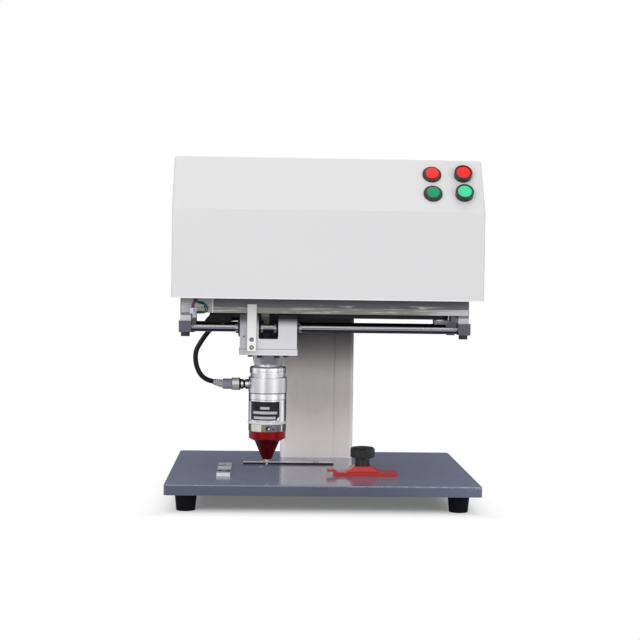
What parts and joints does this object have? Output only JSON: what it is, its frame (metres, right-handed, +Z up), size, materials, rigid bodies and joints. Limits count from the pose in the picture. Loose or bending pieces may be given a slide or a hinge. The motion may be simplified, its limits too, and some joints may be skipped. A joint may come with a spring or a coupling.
{
  "type": "nameplate marking machine",
  "caption": "Bench dot marking machine: a covered head on a column moves a hammering stylus in two directions over a base plate with stops and a screw clamp.",
  "frame": {"origin": "on the bench, under the middle of the overall width and depth", "axes": "+Z up, the front with the buttons faces -Y, +X to the operator's right"},
  "size_m": [0.45, 0.438, 0.498],
  "materials": {
    "base_paint": "gloss blue-grey paint",
    "cover_paint": "fine textured light grey paint",
    "column_sheet": "satin pale sheet",
    "machined": "fine milled",
    "side_plates": "satin lilac grey",
    "clamp_grey": "satin dark grey",
    "ground_steel": "ground and polished",
    "bright_steel": "bright",
    "screw_steel": "blackened",
    "black_rubber": "matt",
    "black_plastic": "satin",
    "red_paint": "gloss red",
    "belt_rubber": "matt",
    "satin_alloy": "satin turned",
    "polished_alloy": "polished",
    "white_ring": "smooth",
    "scale_cream": "smooth",
    "boot_plastic": "soft lavender grey",
    "cable_sheath": "smooth black",
    "green_wire": "smooth",
    "switch_body": "beige",
    "green_cap": "gloss",
    "red_cap": "gloss",
    "board_green": "board lacquer",
    "coil_copper": "enamelled winding",
    "tool_steel": "hardened",
    "dark_label": "bare dark plate"
  },
  "bodies": {
    "frame": {"base_plate": "base_paint", "rubber_feet": "black_rubber", "frame_screws": "bright_steel", "column_post": "bright_steel", "column_cover": "column_sheet", "head_frame_plate": "machined", "head_cover": "cover_paint", "rear_panel": "cover_paint", "control_socket": "bright_steel", "y_rails": "ground_steel", "y_motor": "black_plastic", "y_belt": "belt_rubber", "control_board": "board_green", "left_stop_bar": "bright_steel", "rear_fence": "bright_steel", "button_bezels": "black_plastic", "button_switches": "black_plastic"},
    "y_drive": {"y_drive_pulley": "machined"},
    "y_idler": {"y_idler_pulley": "machined"},
    "saddle": {"clamp_saddle": "red_paint"},
    "strap": {"clamp_strap": "red_paint"},
    "knob": {"clamp_knob": "black_plastic"},
    "green_cap": {"green_button": "green_cap"},
    "red_cap": {"red_button": "red_cap"},
    "lit_green_cap": {"lit_green_button": "green_cap"},
    "lit_red_cap": {"lit_red_button": "red_cap"},
    "gantry": {"end_plates": "side_plates", "y_rail_blocks": "bright_steel", "rod_clamps": "clamp_grey", "guide_rods": "ground_steel", "gantry_beam": "side_plates", "x_motor": "black_plastic", "idler_yoke": "clamp_grey", "x_belt": "belt_rubber", "y_belt_clamp": "machined", "limit_switch": "switch_body", "switch_wires": "green_wire"},
    "x_drive": {"x_drive_pulley": "machined"},
    "x_idler": {"x_idler_pulley": "machined"},
    "carriage": {"carriage_fork": "machined", "carriage_plate": "machined", "linear_bearings": "bright_steel", "flag_strip": "bright_steel", "head_screws": "screw_steel", "belt_clamp": "machined", "cable_gland": "black_plastic", "head_neck": "polished_alloy", "clamp_ring": "satin_alloy", "connector_sleeve": "satin_alloy", "head_body": "polished_alloy", "label_plate": "dark_label", "solenoid_coil": "coil_copper", "seal_ring": "white_ring", "scale_ring": "scale_cream", "nose_cap": "red_paint", "return_spring": "tool_steel", "connector_socket": "bright_steel", "cable_plug": "boot_plastic", "head_cable": "cable_sheath"},
    "striker": {"stylus": "tool_steel"}
  },
  "joints": [
    {"name": "bridge_slide", "type": "slide", "parent": "frame", "child": "gantry", "axis": [0, 1, 0], "range_m": [-0.05, 0.05]},
    {"name": "carriage_slide", "type": "slide", "parent": "gantry", "child": "carriage", "axis": [1, 0, 0], "range_m": [-0.03, 0.108]},
    {"name": "striker_slide", "type": "slide", "parent": "carriage", "child": "striker", "axis": [0, 0, -1], "range_m": [0, 0.002], "stiffness_N_per_m": 400, "springref_m": -0.003, "deforming": ["return_spring"]},
    {"name": "y_drive_turn", "type": "hinge", "parent": "frame", "child": "y_drive", "pos_m": [0, 0.1, 0.335], "axis": [0, 0, 1], "range_deg": [-305, 305]},
    {"name": "y_idler_turn", "type": "hinge", "parent": "frame", "child": "y_idler", "pos_m": [0, -0.1882, 0.335], "axis": [0, 0, 1], "range_deg": [-305, 305]},
    {"name": "x_drive_turn", "type": "hinge", "parent": "gantry", "child": "x_drive", "pos_m": [-0.15, -0.081, 0.2783], "axis": [0, 0, 1], "range_deg": [-190, 660]},
    {"name": "x_idler_turn", "type": "hinge", "parent": "gantry", "child": "x_idler", "pos_m": [0.1705, -0.081, 0.2783], "axis": [0, 0, 1], "range_deg": [-190, 660]},
    {"name": "clamp_turn", "type": "hinge", "parent": "frame", "child": "saddle", "pos_m": [0.062, -0.044, 0.04], "axis": [0, 0, 1], "range_deg": [-45, 45]},
    {"name": "strap_slide", "type": "slide", "parent": "saddle", "child": "strap", "axis": [1, 0, 0], "range_m": [-0.014, 0.014]},
    {"name": "knob_turn", "type": "hinge", "parent": "frame", "child": "knob", "pos_m": [0.062, -0.044, 0.04], "axis": [0, 0, 1], "range_deg": [-180, 180]},
    {"name": "green_press", "type": "slide", "parent": "frame", "child": "green_cap", "axis": [0, 0.8389, -0.5442], "range_m": [0, 0.0035], "stiffness_N_per_m": 300, "springref_m": -0.002},
    {"name": "red_press", "type": "slide", "parent": "frame", "child": "red_cap", "axis": [0, 0.8389, -0.5442], "range_m": [0, 0.0035], "stiffness_N_per_m": 300, "springref_m": -0.002},
    {"name": "lit_green_press", "type": "slide", "parent": "frame", "child": "lit_green_cap", "axis": [0, 0.8389, -0.5442], "range_m": [0, 0.0035], "stiffness_N_per_m": 300, "springref_m": -0.002},
    {"name": "lit_red_press", "type": "slide", "parent": "frame", "child": "lit_red_cap", "axis": [0, 0.8389, -0.5442], "range_m": [0, 0.0035], "stiffness_N_per_m": 300, "springref_m": -0.002}
  ],
  "couplings": [
    {"joint": "y_drive_turn", "follows": "bridge_slide", "rad_per_m": -104.72},
    {"joint": "y_idler_turn", "follows": "bridge_slide", "rad_per_m": -104.72},
    {"joint": "x_drive_turn", "follows": "carriage_slide", "rad_per_m": 104.72},
    {"joint": "x_idler_turn", "follows": "carriage_slide", "rad_per_m": 104.72}
  ]
}
